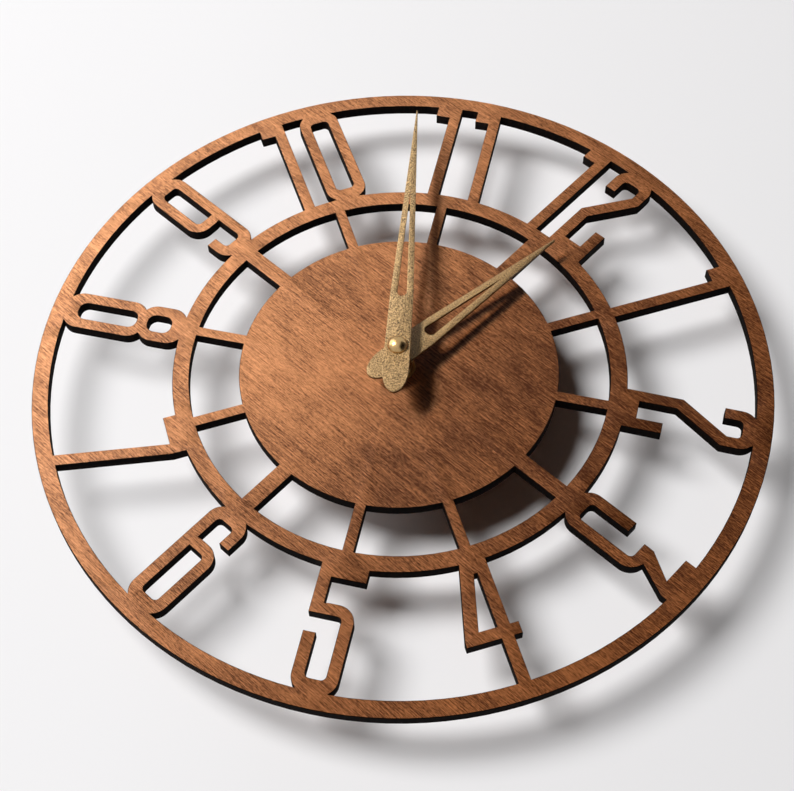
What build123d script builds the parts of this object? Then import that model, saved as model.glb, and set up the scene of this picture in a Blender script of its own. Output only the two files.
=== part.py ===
# Fretwork plywood wall clock with a quartz movement, lying face up as it would on a bench.
# Millimetres. The origin is on the arbor axis, in the plane of the movement's back.
# +Z points out of the dial towards the reader and +Y points to twelve o'clock.
import os
from math import cos, radians, sin

from build123d import *

# Dial plate: one sheet of plywood
plate_radius = 150.0
plate_thickness = 5.0
rim_width = 6.8
chapter_ring_radius = 92.5
chapter_ring_width = 6.9
centre_disc_radius = 65.1
wide_spoke_width = 6.8
narrow_spoke_width = 4.4
hour_angle = 30.0

# Numerals, cut from the same sheet between the chapter ring and the rim
numeral_stroke = 4.9
digit_width = 17.8
digit_gap = 7.0
flag_length = 6.0
flag_depth = 5.8
loop_corner = 7.0
largest_corner_share = 0.45
counter_corner = 2.0
eight_counter_corner = 3.4
loop_bite = 1.3
stem_bite = 3.8
hook_end = 12.8
two_diagonal_rise = 18.6
two_diagonal_foot = -3.7
two_stub_top = -10.0
bowl_top = 9.9
bowl_hook_top = -2.7
three_diagonal_top = 2.7
three_diagonal_foot = 9.2
three_diagonal_lean = 3.1
three_diagonal_rise = 2.0
four_left_end = -12.4
four_right_end = 9.1
four_stem_left = 0.9
four_bar_bottom = -7.2
four_slant_top = -4.7
seven_bar_left = -5.5
seven_bar_right = 12.1
seven_lean = 9.2
six_bar_top = 9.5
nine_bar_top = 7.6
nine_hook_end = 13.7
eight_waist = 7.75
waist_overlap = 1.4
one_shift = -1.9
two_tilt = 1.3
three_shift = 0.2
five_shift = 0.5
six_shift = 0.3
twelve_shift = 2.4
ten_turn = -1.7
eleven_turn = 0.4

# Hands
hand_thickness = 1.5
minute_hand_turn = 321.1
minute_hand_height = 15.9
minute_hand_reach = 126.0
minute_hand_shoulder = 25.0
minute_hand_shoulder_width = 9.5
minute_hand_width = 10.7
minute_hand_tail = 21.9
minute_tail_arc = 11.0
minute_slot_start = 26.5
minute_slot_end = 81.0
minute_slot_width = 3.9
hour_hand_turn = 6.2
hour_hand_height = 9.8
hour_hand_reach = 87.0
hour_hand_shoulder = 14.0
hour_hand_shoulder_width = 11.6
hour_hand_width = 12.0
hour_hand_tail = 15.3
hour_tail_arc = 11.0
hour_slot_start = 17.8
hour_slot_end = 57.0
hour_slot_width = 5.0
hand_tip_width = 0.5

# Arbors, tube, bushing and fasteners at the centre
running_clearance = 0.03
push_fit = 0.02
minute_arbor_diameter = 3.0
minute_thread_diameter = 2.6
minute_thread_length = 2.0
hour_tube_diameter = 5.0
tube_stand_out = 0.2
bushing_diameter = 8.0
bushing_flange_diameter = 11.0
bushing_below_hand = 2.0
plate_hole_clearance = 0.1
gasket_thickness = 1.0
gasket_diameter = 26.0
washer_thickness = 0.5
washer_diameter = 14.0
nut_across_flats = 11.0
nut_thickness = 2.0
cap_nut_diameter = 8.2
cap_nut_rim = 0.5
cap_nut_dome = 2.9
cap_nut_bore_spare = 0.2

# Battery and movement case
battery_diameter = 14.2
battery_length = 50.5
battery_nub_diameter = 5.5
battery_nub_length = 1.4
battery_sink = 0.5
battery_gap = 0.3
bay_side_gap = 0.9
contact_thickness = 0.4
contact_width = 5.0
contact_gap = 0.1
leaf_rise = 1.0
leaf_diameter = 6.0
leaf_slope = 45.0
case_wall = 1.5
case_corner = 4.0
case_split = 8.0
room_above_centre = 26.5
partition_thickness = 1.0
partition_gap = 0.7
lid_gap = 0.1
hanger_width = 20.0
hanger_height = 9.5
hanger_thickness = 2.0
hanger_hole_diameter = 5.2
hanger_corner = 3.0

# Wheels of the going train and of the motion work
wheel_thickness = 0.8
layer_gap = 0.4
mesh_overlap = 0.2
pivot_diameter = 1.0
pivot_boss_diameter = 3.0
pivot_boss_height = 0.6
pivot_depth = 0.8
pinion_teeth = 8
going_module = 0.25
seconds_module = 0.325
seconds_teeth = 48
intermediate_teeth = 40
third_teeth = 60
centre_teeth = 64
cannon_teeth = 12
motion_module = 0.35
motion_teeth = 36
hour_teeth = 32
tooth_tip_height = 0.8
tooth_root_depth = 1.25
tooth_width_share = 0.38
tooth_tip_share = 0.16
third_direction = 0.0
intermediate_direction = 150.0
rotor_direction = 150.0
motion_direction = 60.0
knob_direction = 75.0
motion_post_diameter = 1.2
clutch_collar_diameter = 3.8
clutch_collar_thickness = 0.6
train_plate_thickness = 1.2
train_plate_gap = 0.15
train_post_diameter = 3.0
right_post_spacing = 15.0
left_post_rise = 7.5

# Setting knob
knob_diameter = 12.0
knob_ribs = 18
knob_rib_depth = 0.5
knob_sink = 0.4
knob_thickness = 2.4
knob_gap = 0.4
knob_shaft_diameter = 2.0
knob_cup_wall = 1.2

# Stepping motor
magnet_diameter = 6.0
magnet_thickness = 2.0
magnet_air_gap = 0.4
stator_thickness = 0.8
stator_ring_width = 1.6
stator_bar_width = 3.0
stator_post_diameter = 2.6
coil_length = 14.0
coil_diameter = 6.0
coil_from_top = 7.5
coil_core_width = 3.0
coil_core_thickness = 0.8
bobbin_wall = 0.5
bobbin_flange = 0.8
bobbin_flange_rim = 0.2

# Circuit board
board_width = 11.0
board_height = 12.0
board_thickness = 1.0
board_lift = 1.5
board_edge_gap = 0.2
board_top_gap = 1.5
board_post_diameter = 2.5
board_post_inset = 2.2
chip_diameter = 6.0
chip_height = 1.2
chip_round_share = 0.8
crystal_diameter = 2.0
crystal_length = 6.0
crystal_edge_round = 0.25

# Places worked out from the sizes above
rim_inner_radius = plate_radius - rim_width
band_middle = (rim_inner_radius + chapter_ring_radius) / 2
half_band = (rim_inner_radius - chapter_ring_radius) / 2
half_digit = digit_width / 2
half_counter = half_digit - numeral_stroke
one_width = flag_length + numeral_stroke
counter_end = half_band - numeral_stroke
loop_end = half_band + loop_bite
stem_end = half_band + stem_bite

case_depth = battery_sink + battery_diameter + battery_gap + case_wall
front_inside = case_depth - case_wall
contact_room = contact_thickness + 2 * contact_gap
inside_half_width = (battery_length + leaf_rise + 2 * contact_room) / 2
centre_wheel_radius = going_module * (centre_teeth / 2 + tooth_tip_height)
partition_top = -(centre_wheel_radius + partition_gap)
bay_top = partition_top - partition_thickness
bay_bottom = bay_top - battery_diameter - 2 * bay_side_gap
battery_y = (bay_top + bay_bottom) / 2
battery_z = battery_sink + battery_diameter / 2
case_half_width = inside_half_width + case_wall
case_top = room_above_centre + case_wall
case_bottom = bay_bottom - case_wall
case_middle = (case_top + case_bottom) / 2
case_height = case_top - case_bottom

plate_back = case_depth + gasket_thickness
plate_face = plate_back + plate_thickness
hour_hand_top = plate_face + hour_hand_height
hour_hand_back = hour_hand_top - hand_thickness
minute_hand_top = plate_face + minute_hand_height
minute_hand_back = minute_hand_top - hand_thickness
bushing_top = hour_hand_back - bushing_below_hand

pivot_foot = case_wall - pivot_depth
pivot_boss_top = case_wall + pivot_boss_height
seconds_z = pivot_boss_top + layer_gap
intermediate_z = seconds_z + wheel_thickness + layer_gap
third_z = intermediate_z + wheel_thickness + layer_gap
arbor_foot = third_z + wheel_thickness + layer_gap
centre_z = arbor_foot + clutch_collar_thickness
train_plate_z = centre_z + wheel_thickness + 2 * layer_gap
train_plate_top = train_plate_z + train_plate_thickness
motion_z = train_plate_top + layer_gap
hour_z = motion_z + wheel_thickness + 2 * layer_gap
hour_wheel_top = hour_z + wheel_thickness
bushing_foot = hour_wheel_top + mesh_overlap

# The third wheel and the hour wheel share a centre distance with the pair that they run beside
third_distance = going_module * (pinion_teeth + centre_teeth) / 2
third_module = 2 * third_distance / (pinion_teeth + third_teeth)
motion_distance = motion_module * (cannon_teeth + motion_teeth) / 2
hour_module = 2 * motion_distance / (pinion_teeth + hour_teeth)
intermediate_distance = seconds_module * (seconds_teeth + pinion_teeth) / 2
rotor_distance = going_module * (intermediate_teeth + pinion_teeth) / 2


def step(start, direction, distance):
    """A point at a distance and direction from another."""
    return (start[0] + distance * cos(radians(direction)), start[1] + distance * sin(radians(direction)))


centre = (0, 0)
third_at = step(centre, third_direction, third_distance)
intermediate_at = step(centre, intermediate_direction, intermediate_distance)
rotor_at = step(intermediate_at, rotor_direction, rotor_distance)
motion_at = step(centre, motion_direction, motion_distance)
knob_at = step(motion_at, knob_direction, motion_distance)
knob_cup_diameter = knob_diameter + 2 * knob_gap + 2 * knob_cup_wall
knob_top = knob_sink + knob_thickness
knob_cup_floor = knob_top + layer_gap

stator_z = third_z + wheel_thickness + layer_gap / 2
stator_bar_y = rotor_at[1] + magnet_diameter / 2 + magnet_air_gap + stator_bar_width / 2
coil_y = room_above_centre - coil_from_top
coil_core_z = stator_z + stator_thickness
coil_z = coil_core_z + coil_core_thickness / 2
coil_left = -inside_half_width + 2 * bobbin_flange
stator_left_arm = coil_left + stator_bar_width / 2
bobbin_left = coil_left + stator_bar_width + bobbin_flange_rim
bobbin_right = bobbin_left + coil_length + 2 * bobbin_flange
stator_right_arm = bobbin_right + bobbin_flange_rim + stator_bar_width / 2
coil_core_length = stator_right_arm - stator_left_arm + stator_bar_width
coil_middle = (stator_left_arm + stator_right_arm) / 2

board_right = inside_half_width - contact_room - board_edge_gap
board_x = board_right - board_width / 2
board_y = room_above_centre - board_top_gap - board_height / 2
board_z = case_wall + board_lift
board_top = board_z + board_thickness

post_x = inside_half_width - contact_room - train_post_diameter
low_post_y = partition_top + train_post_diameter
high_post_y = low_post_y + right_post_spacing
left_post_y = low_post_y + left_post_rise
train_posts = [(post_x, low_post_y), (-post_x, low_post_y), (post_x, high_post_y), (-post_x, left_post_y)]

os.makedirs("parts", exist_ok=True)


def finish(builder, name):
    """Label a finished piece and write it."""
    builder.part.label = name
    export_step(builder.part, f"parts/{name}.step")


def bar(left, right, bottom, top, mode=Mode.ADD):
    """A rectangle given by its four sides."""
    with Locations(((left + right) / 2, (bottom + top) / 2)):
        Rectangle(right - left, top - bottom, mode=mode)


def rounded_bar(left, right, bottom, top, corner, mode=Mode.ADD):
    """A rectangle given by its four sides, its corners limited by its narrow side."""
    width = right - left
    height = top - bottom
    with Locations(((left + right) / 2, (bottom + top) / 2)):
        RectangleRounded(width, height, min(corner, largest_corner_share * min(width, height)), mode=mode)


def outline(*points, mode=Mode.ADD):
    """A straight-sided shape through the points, where they are."""
    Polygon(*points, align=None, mode=mode)


def loop(bottom, top, counter_bottom, counter_top, counter=counter_corner):
    """A rounded ring as wide as a digit."""
    rounded_bar(-half_digit, half_digit, bottom, top, loop_corner)
    rounded_bar(-half_counter, half_counter, counter_bottom, counter_top, counter, mode=Mode.SUBTRACT)


def digit_zero():
    with BuildSketch() as glyph:
        loop(-loop_end, loop_end, -counter_end, counter_end)
    return glyph.sketch


def digit_one():
    half_one = one_width / 2
    with BuildSketch() as glyph:
        bar(half_one - numeral_stroke, half_one, -stem_end, loop_end)
        bar(-half_one, half_one, half_band - flag_depth, loop_end)
    return glyph.sketch


def digit_two():
    with BuildSketch() as glyph:
        loop(-loop_end, loop_end, -counter_end, counter_end)
        bar(-digit_width, digit_width, -2 * loop_end, hook_end, mode=Mode.SUBTRACT)
        outline(
            (-half_digit, two_diagonal_foot),
            (-half_counter, hook_end - two_diagonal_rise),
            (half_digit, hook_end),
            (half_counter, two_diagonal_foot + two_diagonal_rise),
        )
        bar(-half_digit, -half_counter, -stem_end, two_diagonal_foot)
        bar(-half_digit, half_digit, -stem_end, -counter_end)
        bar(half_counter, half_digit, -stem_end, two_stub_top)
    return glyph.sketch


def bowl():
    """The lower bowl that three and five share: a loop that is open at the upper left."""
    loop(-loop_end, bowl_top, -counter_end, bowl_top - numeral_stroke)
    bar(-digit_width, -half_counter, bowl_hook_top, bowl_top, mode=Mode.SUBTRACT)
    bar(-half_counter, 0, bowl_hook_top, bowl_top - numeral_stroke, mode=Mode.SUBTRACT)


def digit_three():
    with BuildSketch() as glyph:
        bowl()
        outline(
            (-half_counter, bowl_top - numeral_stroke),
            (0, bowl_top - numeral_stroke),
            (three_diagonal_lean, bowl_top),
            (half_digit, counter_end + three_diagonal_rise),
            (half_digit, loop_end),
            (-half_digit, loop_end),
            (-half_digit, counter_end),
            (three_diagonal_top, counter_end),
            (-half_counter, three_diagonal_foot),
        )
    return glyph.sketch


def digit_four():
    bar_top = four_bar_bottom + numeral_stroke
    stem_right = four_stem_left + numeral_stroke
    slant = (four_slant_top - four_left_end) / (half_band - four_bar_bottom - numeral_stroke / 2)
    top_left = four_slant_top + slant * stem_bite
    inner_shift = numeral_stroke + numeral_stroke * slant / 2
    with BuildSketch() as glyph:
        outline(
            (four_left_end, four_bar_bottom),
            (stem_right, four_bar_bottom),
            (stem_right, stem_end),
            (top_left, stem_end),
            (four_left_end, four_bar_bottom + numeral_stroke / 2),
        )
        outline(
            (four_left_end + inner_shift + slant * numeral_stroke / 2, bar_top),
            (four_stem_left, bar_top),
            (four_stem_left, counter_end),
            (four_slant_top + inner_shift - slant * numeral_stroke, counter_end),
            mode=Mode.SUBTRACT,
        )
        bar(stem_right, four_right_end, four_bar_bottom, bar_top)
        bar(four_stem_left, stem_right, -loop_end, four_bar_bottom)
    return glyph.sketch


def digit_five():
    with BuildSketch() as glyph:
        bowl()
        bar(-half_digit, -half_counter, bowl_top - numeral_stroke, stem_end)
        bar(-half_digit, half_digit + loop_bite / 2, counter_end, stem_end)
    return glyph.sketch


def hooked_loop(bar_top, hook):
    """A six: a closed lower loop, square inside where it joins the stem, and a hook at the top."""
    with BuildSketch() as glyph:
        loop(-loop_end, loop_end, -counter_end, counter_end)
        bar(-half_counter, digit_width, -2 * loop_end, hook, mode=Mode.SUBTRACT)
        with BuildSketch(mode=Mode.PRIVATE) as ring:
            loop(-loop_end, bar_top, -counter_end, bar_top - numeral_stroke)
            bar(-half_counter, 0, 0, bar_top - numeral_stroke, mode=Mode.SUBTRACT)
        add(ring.sketch)
    return glyph.sketch


def digit_seven():
    stem_right = seven_bar_right - seven_lean
    with BuildSketch() as glyph:
        bar(seven_bar_left, seven_bar_right, counter_end, stem_end)
        outline(
            (seven_bar_right - numeral_stroke, counter_end),
            (stem_right - numeral_stroke, -loop_end),
            (stem_right, -loop_end),
            (seven_bar_right, counter_end),
        )
    return glyph.sketch


def digit_eight():
    lower_top = eight_waist + waist_overlap
    upper_bottom = eight_waist - waist_overlap
    bridge_low = eight_waist - numeral_stroke / 2
    bridge_high = eight_waist + numeral_stroke / 2
    with BuildSketch() as glyph:
        rounded_bar(-half_digit, half_digit, -loop_end, lower_top, loop_corner)
        rounded_bar(-half_digit, half_digit, upper_bottom, loop_end, loop_corner)
        for low, high in ((-counter_end, bridge_low), (bridge_high, counter_end)):
            rounded_bar(-half_counter, half_counter, low, high, eight_counter_corner, mode=Mode.SUBTRACT)
    return glyph.sketch


def place(glyph, hour, shift=0.0, turn=0.0, tilt=0.0, tops_inward=False):
    """Set a digit on the band at its hour, moved sideways, turned round the dial or tilted by a little."""
    clock_angle = hour_angle * hour + turn
    facing = -clock_angle - tilt + (180 if tops_inward else 0)
    sideways = -shift if tops_inward else shift
    on_band = step(centre, 90 - clock_angle, band_middle)
    x, y = step(on_band, -clock_angle, sideways)
    with Locations(Location((x, y, 0), (0, 0, facing))):
        add(glyph)


def place_pair(left, right, left_width, right_width, hour, shift=0.0, turn=0.0):
    """Set two digits side by side, centred on their hour."""
    half_pair = (left_width + digit_gap + right_width) / 2
    place(left, hour, shift - half_pair + left_width / 2, turn)
    place(right, hour, shift + half_pair - right_width / 2, turn)


one = digit_one()
two = digit_two()
zero = digit_zero()
six = hooked_loop(six_bar_top, hook_end)
nine = hooked_loop(nine_bar_top, nine_hook_end)  # a six that stands on its head

with BuildPart() as dial_plate:
    with BuildSketch(Plane.XY.offset(plate_back)):
        Circle(plate_radius)
        Circle(rim_inner_radius, mode=Mode.SUBTRACT)
        with BuildSketch(mode=Mode.PRIVATE) as chapter_ring:
            Circle(chapter_ring_radius)
            Circle(chapter_ring_radius - chapter_ring_width, mode=Mode.SUBTRACT)
        add(chapter_ring.sketch)
        Circle(centre_disc_radius)
        spoke_end = chapter_ring_radius - chapter_ring_width / 2
        for hour in range(12):
            spoke_width = wide_spoke_width if hour % 3 == 0 else narrow_spoke_width
            with PolarLocations((centre_disc_radius + spoke_end) / 2, 1, 90 - hour_angle * hour):
                Rectangle(spoke_end - centre_disc_radius + chapter_ring_width, spoke_width)
        place(one, 1, one_shift)
        place(two, 2, tilt=two_tilt)
        place(digit_three(), 3, three_shift)
        place(digit_four(), 4, tops_inward=True)
        place(digit_five(), 5, five_shift, tops_inward=True)
        place(six, 6, six_shift, tops_inward=True)
        place(digit_seven(), 7, tops_inward=True)
        place(digit_eight(), 8, tops_inward=True)
        place(nine, 9, tops_inward=True)
        place_pair(one, zero, one_width, digit_width, 10, turn=ten_turn)
        place_pair(one, one, one_width, one_width, 11, turn=eleven_turn)
        place_pair(one, two, one_width, digit_width, 12, shift=twelve_shift)
        Circle(bushing_diameter / 2 + plate_hole_clearance, mode=Mode.SUBTRACT)
    extrude(amount=plate_thickness)
finish(dial_plate, "dial_plate")


def hand(turn, back, reach, shoulder, shoulder_width, width, tail, tail_arc, slot, hole_diameter):
    """A tapered hand with a round tail, a pointed slot and a hub hole, turned to its place on the dial."""
    slot_start, slot_end, slot_width = slot
    half_slot = slot_width / 2
    tail_start = tail_arc - tail
    with BuildSketch(Plane.XY.offset(back).rotated((0, 0, -turn))) as blade:
        with BuildLine():
            Polyline(
                (width / 2, tail_start),
                (shoulder_width / 2, shoulder),
                (hand_tip_width / 2, reach),
                (-hand_tip_width / 2, reach),
                (-shoulder_width / 2, shoulder),
                (-width / 2, tail_start),
            )
            EllipticalCenterArc((0, tail_start), width / 2, tail_arc, start_angle=180, arc_size=180)
        make_face()
        with Locations((0, slot_start)):
            Circle(half_slot, mode=Mode.SUBTRACT)
        outline((-half_slot, slot_start), (half_slot, slot_start), (0, slot_end), mode=Mode.SUBTRACT)
        Circle(hole_diameter / 2 + push_fit, mode=Mode.SUBTRACT)
    extrude(blade.sketch, amount=hand_thickness)


with BuildPart() as hour_hand:
    hand(
        hour_hand_turn,
        hour_hand_back,
        hour_hand_reach,
        hour_hand_shoulder,
        hour_hand_shoulder_width,
        hour_hand_width,
        hour_hand_tail,
        hour_tail_arc,
        (hour_slot_start, hour_slot_end, hour_slot_width),
        hour_tube_diameter,
    )
finish(hour_hand, "hour_hand")

with BuildPart() as minute_hand:
    hand(
        minute_hand_turn,
        minute_hand_back,
        minute_hand_reach,
        minute_hand_shoulder,
        minute_hand_shoulder_width,
        minute_hand_width,
        minute_hand_tail,
        minute_tail_arc,
        (minute_slot_start, minute_slot_end, minute_slot_width),
        minute_arbor_diameter,
    )
finish(minute_hand, "minute_hand")


def rod(at, bottom, top, diameter, mode=Mode.ADD):
    """An upright cylinder between two heights."""
    with Locations((at[0], at[1], bottom)):
        Cylinder(diameter / 2, top - bottom, align=(Align.CENTER, Align.CENTER, Align.MIN), mode=mode)


def block(left, right, front, rear, bottom, top, mode=Mode.ADD):
    """A box given by its six sides."""
    with Locations(((left + right) / 2, (front + rear) / 2, (bottom + top) / 2)):
        Box(right - left, rear - front, top - bottom, mode=mode)


def running(diameter):
    """The hole that a shaft turns in."""
    return diameter + 2 * running_clearance


# Fasteners at the centre of the dial
with BuildPart() as cap_nut:
    dome_radius = (cap_nut_diameter**2 / 4 + cap_nut_dome**2) / (2 * cap_nut_dome)
    dome_base = minute_hand_top + cap_nut_rim
    dome_top = dome_base + cap_nut_dome
    with BuildSketch(Plane.XZ):
        with BuildLine():
            Polyline(
                (0, dome_top),
                (0, minute_hand_top),
                (cap_nut_diameter / 2, minute_hand_top),
                (cap_nut_diameter / 2, dome_base),
            )
            RadiusArc((cap_nut_diameter / 2, dome_base), (0, dome_top), -dome_radius)
        make_face()
    revolve(axis=Axis.Z)
    thread_bore = minute_thread_diameter + 2 * push_fit
    bore_top = minute_hand_top + minute_thread_length + cap_nut_bore_spare
    rod(centre, minute_hand_top, bore_top, thread_bore, Mode.SUBTRACT)
finish(cap_nut, "cap_nut")

with BuildPart() as washer:
    rod(centre, plate_face, plate_face + washer_thickness, washer_diameter)
    rod(centre, plate_face, plate_face + washer_thickness, bushing_diameter + 2 * push_fit, Mode.SUBTRACT)
finish(washer, "dial_washer")

with BuildPart() as hex_nut:
    with BuildSketch(Plane.XY.offset(plate_face + washer_thickness)):
        RegularPolygon(nut_across_flats / 2, 6, major_radius=False)
        Circle(bushing_diameter / 2 + push_fit, mode=Mode.SUBTRACT)
    extrude(amount=nut_thickness)
finish(hex_nut, "hex_nut")

with BuildPart() as gasket:
    rod(centre, case_depth, plate_back, gasket_diameter)
    rod(centre, case_depth, plate_back, bushing_diameter + 2 * push_fit, Mode.SUBTRACT)
finish(gasket, "rubber_gasket")

with BuildPart() as bushing:
    rod(centre, bushing_foot, front_inside, bushing_flange_diameter)
    rod(centre, front_inside, bushing_top, bushing_diameter)
    chamfer(bushing.edges().group_by(Axis.Z)[-1], layer_gap)
    rod(centre, bushing_foot, bushing_top, running(hour_tube_diameter), Mode.SUBTRACT)
finish(bushing, "threaded_bushing")


# Movement case
def case_outline():
    """The movement's rounded square, seen from the front."""
    with Locations((0, case_middle)):
        RectangleRounded(2 * case_half_width, case_height, case_corner)


def case_cavity():
    """The room inside the case walls."""
    with Locations((0, case_middle)):
        RectangleRounded(2 * inside_half_width, case_height - 2 * case_wall, case_corner - case_wall)


with BuildPart() as front_case:
    with BuildSketch(Plane.XY.offset(case_split)):
        case_outline()
    extrude(amount=case_depth - case_split)
    with BuildSketch(Plane.XY.offset(case_split)):
        case_cavity()
    extrude(amount=front_inside - case_split, mode=Mode.SUBTRACT)
    for at in train_posts:
        rod(at, train_plate_top, front_inside, train_post_diameter)
    rod(centre, front_inside, case_depth, bushing_diameter + 2 * push_fit, Mode.SUBTRACT)
finish(front_case, "front_case")

pivots = (centre, third_at, intermediate_at, rotor_at)
stator_posts = ((stator_left_arm, coil_y), (stator_right_arm, coil_y))
board_post_x = board_width / 2 - board_post_inset
board_post_y = board_height / 2 - board_post_inset
board_posts = (
    (board_x - board_post_x, board_y + board_post_y),
    (board_x + board_post_x, board_y - board_post_y),
)
partition_half = inside_half_width - contact_room - contact_gap

with BuildPart() as back_case:
    with BuildSketch():
        case_outline()
    extrude(amount=case_split)
    with BuildSketch(Plane.XY.offset(case_wall)):
        case_cavity()
    extrude(amount=case_split - case_wall, mode=Mode.SUBTRACT)
    with BuildSketch():
        with Locations((0, case_top)):
            RectangleRounded(hanger_width, 2 * hanger_height, hanger_corner)
        hanger_foot = case_top - case_wall
        bar(-hanger_width, hanger_width, hanger_foot - 2 * hanger_height, hanger_foot, mode=Mode.SUBTRACT)
    extrude(amount=hanger_thickness)
    hanger_at = (0, case_top + hanger_height / 2)
    rod(hanger_at, 0, hanger_thickness, hanger_hole_diameter, Mode.SUBTRACT)
    block(-partition_half, partition_half, bay_top, partition_top, 0, front_inside - lid_gap)
    for at in train_posts:
        rod(at, case_wall, train_plate_z, train_post_diameter)
    for at in stator_posts:
        rod(at, case_wall, stator_z, stator_post_diameter)
    for at in board_posts:
        rod(at, case_wall, board_z, board_post_diameter)
    for at in pivots:
        rod(at, case_wall, pivot_boss_top, pivot_boss_diameter)
        rod(at, pivot_foot, pivot_boss_top, running(pivot_diameter), Mode.SUBTRACT)
    rod(knob_at, 0, knob_cup_floor + knob_cup_wall, knob_cup_diameter)
    rod(knob_at, 0, knob_cup_floor, knob_diameter + 2 * knob_gap, Mode.SUBTRACT)
    rod(knob_at, knob_cup_floor, knob_cup_floor + knob_cup_wall, running(knob_shaft_diameter), Mode.SUBTRACT)
    half_window = battery_diameter / 2 + contact_gap
    block(
        -inside_half_width + contact_room,
        inside_half_width - contact_room,
        battery_y - half_window,
        battery_y + half_window,
        0,
        case_wall,
        Mode.SUBTRACT,
    )
finish(back_case, "back_case")

with BuildPart() as train_plate:
    plate_half = inside_half_width - train_plate_gap
    plate_high = high_post_y + train_post_diameter / 2
    with BuildSketch(Plane.XY.offset(train_plate_z)):
        bar(-plate_half, plate_half, partition_top + train_plate_gap, stator_bar_y)
        bar(0, plate_half, 0, plate_high)
        with Locations(knob_at):
            Circle(knob_diameter / 2)
        with Locations(third_at, intermediate_at, rotor_at):
            Circle(running(pivot_diameter) / 2, mode=Mode.SUBTRACT)
        with Locations(knob_at):
            Circle(running(knob_shaft_diameter) / 2, mode=Mode.SUBTRACT)
        Circle(running(minute_arbor_diameter) / 2, mode=Mode.SUBTRACT)
    extrude(amount=train_plate_thickness)
    rod(motion_at, train_plate_top, hour_wheel_top + mesh_overlap, motion_post_diameter)
finish(train_plate, "train_plate")


# Wheels
def gear(at, bottom, top, teeth, module, phase):
    """A toothed disc: straight root flanks, a tapered tip and room between the teeth."""
    pitch_radius = module * teeth / 2
    root = pitch_radius - tooth_root_depth * module
    tip = pitch_radius + tooth_tip_height * module
    pitch = 360 / teeth
    points = []
    for tooth in range(teeth):
        for radius, share in (
            (root, -tooth_width_share),
            (pitch_radius, -tooth_width_share),
            (tip, -tooth_tip_share),
            (tip, tooth_tip_share),
            (pitch_radius, tooth_width_share),
            (root, tooth_width_share),
        ):
            points.append(step(centre, phase + (tooth + share / 2) * pitch, radius))
    with BuildSketch(Plane((at[0], at[1], bottom))) as teeth_face:
        outline(*points)
    extrude(teeth_face.sketch, amount=top - bottom)


def meshed(direction, teeth, phase, other_teeth):
    """The phase of a second gear, in that direction, whose gap meets the first gear's tooth."""
    turned = (direction - phase) * teeth / 360
    return direction + 180 - (0.5 - turned) * 360 / other_teeth


with BuildPart() as hour_wheel:
    hour_phase = meshed(motion_direction + 180, pinion_teeth, 0, hour_teeth)
    gear(centre, hour_z, hour_wheel_top, hour_teeth, hour_module, hour_phase)
    rod(centre, hour_z, hour_hand_top + tube_stand_out, hour_tube_diameter)
    rod(centre, hour_z, hour_hand_top + tube_stand_out, running(minute_arbor_diameter), Mode.SUBTRACT)
finish(hour_wheel, "hour_wheel")

seconds_top = arbor_foot + clutch_collar_thickness
with BuildPart() as minute_arbor:
    rod(centre, arbor_foot, centre_z, clutch_collar_diameter)
    rod(centre, centre_z, minute_hand_top, minute_arbor_diameter)
    gear(centre, motion_z, motion_z + wheel_thickness + mesh_overlap, cannon_teeth, motion_module, 0)
    rod(centre, minute_hand_top, minute_hand_top + minute_thread_length, minute_thread_diameter)
    rod(centre, arbor_foot, seconds_top + mesh_overlap, running(pivot_diameter), Mode.SUBTRACT)
finish(minute_arbor, "minute_arbor")

with BuildPart() as centre_wheel:
    centre_phase = meshed(third_direction + 180, pinion_teeth, 0, centre_teeth)
    gear(centre, centre_z, centre_z + wheel_thickness, centre_teeth, going_module, centre_phase)
    rod(centre, centre_z, centre_z + wheel_thickness, running(minute_arbor_diameter), Mode.SUBTRACT)
finish(centre_wheel, "centre_wheel")

motion_phase = meshed(motion_direction, cannon_teeth, 0, motion_teeth)
with BuildPart() as motion_wheel:
    gear(motion_at, motion_z, motion_z + wheel_thickness, motion_teeth, motion_module, motion_phase)
    gear(motion_at, motion_z + wheel_thickness, hour_wheel_top + mesh_overlap, pinion_teeth, hour_module, 0)
    rod(motion_at, motion_z, hour_wheel_top + mesh_overlap, running(motion_post_diameter), Mode.SUBTRACT)
finish(motion_wheel, "motion_wheel")

with BuildPart() as setting_knob:
    rod(knob_at, knob_sink, knob_top, knob_diameter)
    with BuildSketch(Plane((knob_at[0], knob_at[1], knob_sink))):
        with PolarLocations(knob_diameter / 2, knob_ribs):
            Circle(knob_rib_depth)
    extrude(amount=knob_thickness, mode=Mode.SUBTRACT)
    shaft_top = motion_z + wheel_thickness + mesh_overlap
    rod(knob_at, knob_top, shaft_top, knob_shaft_diameter)
    knob_phase = meshed(knob_direction, motion_teeth, motion_phase, cannon_teeth)
    gear(knob_at, motion_z, shaft_top, cannon_teeth, motion_module, knob_phase)
finish(setting_knob, "setting_knob")

pivot_low = pivot_foot + lid_gap
pivot_high = train_plate_top - lid_gap

with BuildPart() as third_wheel:
    third_phase = meshed(third_direction, pinion_teeth, 0, third_teeth)
    gear(third_at, third_z, third_z + wheel_thickness, third_teeth, third_module, third_phase)
    pinion_top = centre_z + wheel_thickness + mesh_overlap
    gear(third_at, third_z + wheel_thickness, pinion_top, pinion_teeth, going_module, 0)
    rod(third_at, pivot_low, pivot_high, pivot_diameter)
finish(third_wheel, "third_wheel")

with BuildPart() as seconds_wheel:
    gear(centre, seconds_z, seconds_z + wheel_thickness, seconds_teeth, seconds_module, 0)
    pinion_top = third_z + wheel_thickness + mesh_overlap
    gear(centre, seconds_z + wheel_thickness, pinion_top, pinion_teeth, third_module, 0)
    rod(centre, pivot_low, seconds_top, pivot_diameter)
finish(seconds_wheel, "seconds_wheel")

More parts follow.
